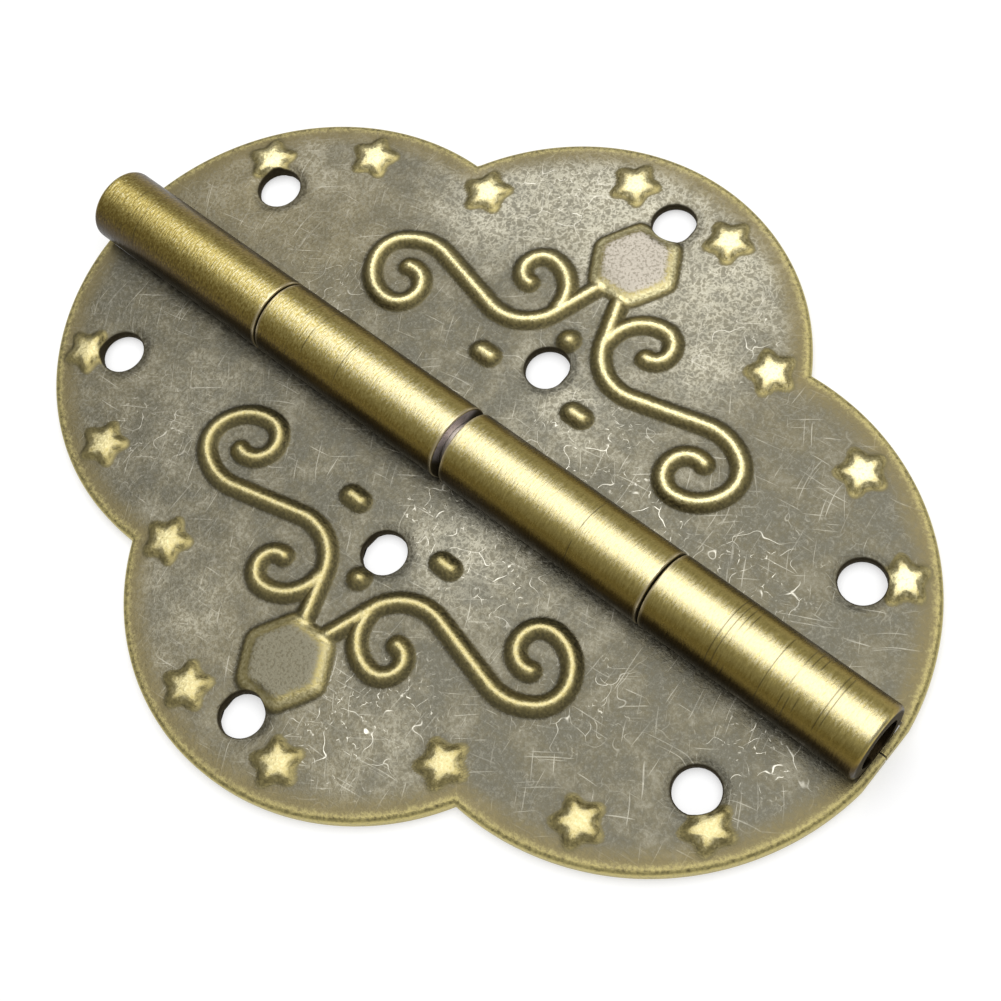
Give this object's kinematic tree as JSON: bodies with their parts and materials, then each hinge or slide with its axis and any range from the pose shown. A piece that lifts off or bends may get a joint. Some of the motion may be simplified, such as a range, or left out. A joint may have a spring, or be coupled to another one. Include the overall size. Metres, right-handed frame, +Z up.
{
  "type": "butterfly hinge",
  "caption": "Decorative butterfly hinge: lobed leaves of bronzed sheet with embossed scrolls and stars, rolled knuckles on a steel pin, and plain screw holes.",
  "frame": {"origin": "under the middle of the barrel, on the plane of the flat backs", "axes": "+X along the barrel, +Y towards the rear leaf, +Z up from the backs, out of the surface the hinge is screwed to"},
  "size_m": [0.0648, 0.0516, 0.0052],
  "materials": {
    "bronzed_leaf": "antique bronze, rubbed bright on the relief",
    "pin_steel": "plain drawn wire"
  },
  "bodies": {
    "fixed_side": {"front_leaf": "bronzed_leaf", "hinge_pin": "pin_steel"},
    "swinging_side": {"rear_leaf": "bronzed_leaf"}
  },
  "joints": [
    {"name": "leaf_swing", "type": "hinge", "parent": "fixed_side", "child": "swinging_side", "pos_m": [0, 0, 0.0026], "axis": [1, 0, 0], "range_deg": [0, 180]}
  ]
}
